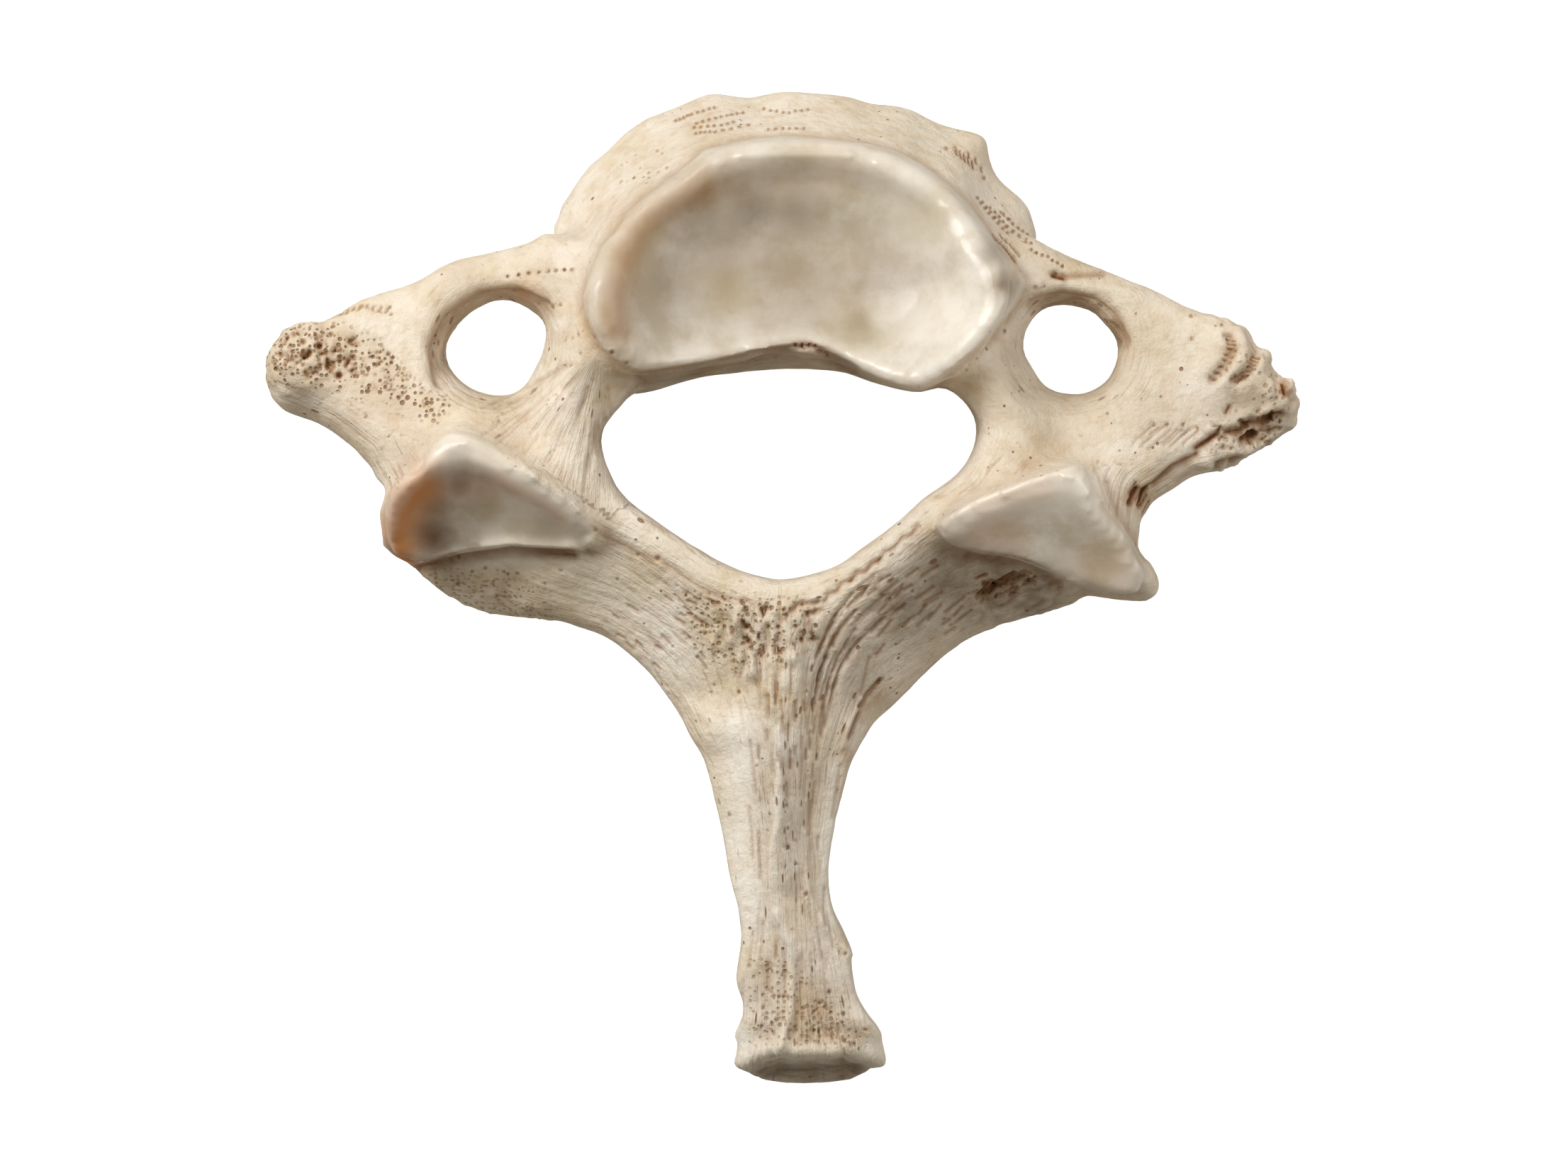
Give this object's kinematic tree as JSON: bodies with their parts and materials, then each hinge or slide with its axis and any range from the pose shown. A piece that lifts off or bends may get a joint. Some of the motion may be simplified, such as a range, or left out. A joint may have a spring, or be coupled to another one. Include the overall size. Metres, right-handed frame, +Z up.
{
  "type": "cervical vertebra",
  "caption": "Dry human seventh cervical vertebra with a long knobbed spinous process and foramina through its transverse processes, lying on its underside.",
  "frame": {"origin": "on the floor, under the middle of the bone's bounding box", "axes": "+X across the bone, to the right of the picture; +Y to the front of the neck, where the vertebral body is; +Z up, to the head end"},
  "size_m": [0.0708, 0.0687, 0.0179],
  "materials": {
    "bone": "dry ivory bone, satin on the joint faces, matte and porous elsewhere"
  },
  "bodies": {
    "root": {"cervical_vertebra": "bone"}
  },
  "joints": []
}
